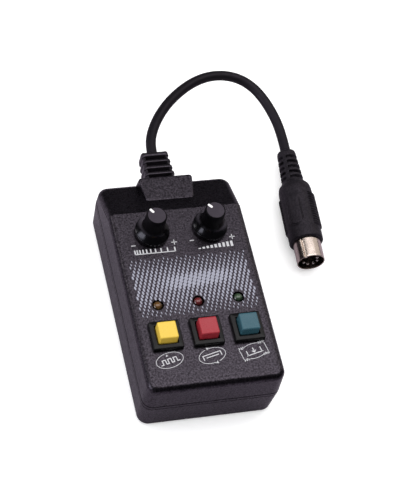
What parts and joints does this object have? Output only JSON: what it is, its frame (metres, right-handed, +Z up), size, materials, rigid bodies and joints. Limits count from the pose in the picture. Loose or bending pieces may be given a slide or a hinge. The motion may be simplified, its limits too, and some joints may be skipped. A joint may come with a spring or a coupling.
{
  "type": "handheld wired timer remote",
  "caption": "Hand-held plastic remote with rotary dials, push buttons and indicator lamps on its face, and a short looped lead to a keyed round multi-pin plug.",
  "frame": {"origin": "centre of the back case resting face", "axes": "+Z up through the control panel, +Y towards the cable end, +X to the right when the controls face the user"},
  "size_m": [0.1081, 0.1798, 0.0481],
  "materials": {
    "case_plastic": "fine spark-textured moulding",
    "knob_plastic": "polished",
    "pointer_white": "satin",
    "bezel_plastic": "satin",
    "cap_yellow": "satin",
    "cap_red": "satin",
    "cap_green": "satin",
    "lamp_amber": "polished tinted epoxy",
    "lamp_red": "polished tinted epoxy",
    "lamp_green": "polished tinted epoxy",
    "switch_plastic": "moulded",
    "steel": "bright zinc plated",
    "nickel": "bright nickel plated",
    "contact_tin": "tinned brass",
    "shaft_alloy": "turned",
    "board_laminate": "solder mask",
    "wafer_laminate": "paper laminate",
    "component_black": "moulded",
    "capacitor_sleeve": "shrunk sleeve",
    "resistor_body": "lacquered",
    "header_plastic": "moulded",
    "wire_insulation": "extruded",
    "cable_jacket": "extruded soft sheath",
    "boot_rubber": "moulded",
    "spring_steel": "drawn wire"
  },
  "bodies": {
    "case": {"back_case": "case_plastic", "front_case": "case_plastic", "case_screws": "steel", "pcb_screws": "steel", "button_bezels": "bezel_plastic", "switch_housings": "switch_plastic", "switch_terminals": "contact_tin", "pot_cans": "steel", "pot_bushings": "nickel", "pot_wafers": "wafer_laminate", "pot_nuts": "nickel", "pot_washers": "nickel", "pot_terminals": "contact_tin", "timer_lamp": "lamp_amber", "continuous_lamp": "lamp_red", "manual_lamp": "lamp_green", "lamp_leads": "contact_tin", "timing_chip": "component_black", "timing_chip_pins": "contact_tin", "capacitors": "capacitor_sleeve", "resistors": "resistor_body", "diodes": "component_black", "transistors": "component_black", "lead_header": "header_plastic", "lead_header_pins": "contact_tin", "lead_socket": "header_plastic", "circuit_board": "board_laminate", "lead_wires": "wire_insulation", "cable_boot": "boot_rubber", "cable_case_end": "cable_jacket", "timer_return_spring": "spring_steel", "continuous_return_spring": "spring_steel", "manual_return_spring": "spring_steel"},
    "interval_control": {"interval_knob": "knob_plastic", "interval_knob_pointer": "pointer_white", "interval_pot_shaft": "shaft_alloy", "interval_pot_rotor": "component_black"},
    "output_control": {"output_knob": "knob_plastic", "output_knob_pointer": "pointer_white", "output_pot_shaft": "shaft_alloy", "output_pot_rotor": "component_black"},
    "timer_button": {"timer_button_cap": "cap_yellow", "timer_switch_plunger": "switch_plastic", "timer_contact_bridge": "contact_tin"},
    "continuous_button": {"continuous_button_cap": "cap_red", "continuous_switch_plunger": "switch_plastic", "continuous_contact_bridge": "contact_tin"},
    "manual_button": {"manual_button_cap": "cap_green", "manual_switch_plunger": "switch_plastic", "manual_contact_bridge": "contact_tin"},
    "lead_loop": {"cable_loop": "cable_jacket"},
    "plug": {"plug_grip": "boot_rubber", "plug_shell": "nickel", "plug_insulator": "component_black", "plug_pins": "nickel", "plug_wires": "wire_insulation", "cable_plug_end": "cable_jacket"}
  },
  "joints": [
    {"name": "interval_turn", "type": "hinge", "parent": "case", "child": "interval_control", "pos_m": [-0.0137, 0.0241, 0.033], "axis": [0, 0, 1], "range_deg": [-185.5, 114.5]},
    {"name": "output_turn", "type": "hinge", "parent": "case", "child": "output_control", "pos_m": [0.0137, 0.0241, 0.033], "axis": [0, 0, 1], "range_deg": [-191, 109]},
    {"name": "timer_press", "type": "slide", "parent": "case", "child": "timer_button", "axis": [0, 0, -1], "range_m": [0, 0.0022], "stiffness_N_per_m": 600, "springref_m": -0.0004, "deforming": ["timer_return_spring"]},
    {"name": "continuous_press", "type": "slide", "parent": "case", "child": "continuous_button", "axis": [0, 0, -1], "range_m": [0, 0.0022], "stiffness_N_per_m": 600, "springref_m": -0.0004, "deforming": ["continuous_return_spring"]},
    {"name": "manual_press", "type": "slide", "parent": "case", "child": "manual_button", "axis": [0, 0, -1], "range_m": [0, 0.0022], "stiffness_N_per_m": 600, "springref_m": -0.0004, "deforming": ["manual_return_spring"]},
    {"name": "lead_bend_at_case", "type": "hinge", "parent": "case", "child": "lead_loop", "pos_m": [0, 0.0765, 0.0185], "axis": [0, 0, 1], "range_deg": [-10, 35]},
    {"name": "lead_bend_at_plug", "type": "hinge", "parent": "lead_loop", "child": "plug", "pos_m": [0.06942, 0.0785, 0.0084], "axis": [0, 0, 1], "range_deg": [-10, 35]}
  ]
}
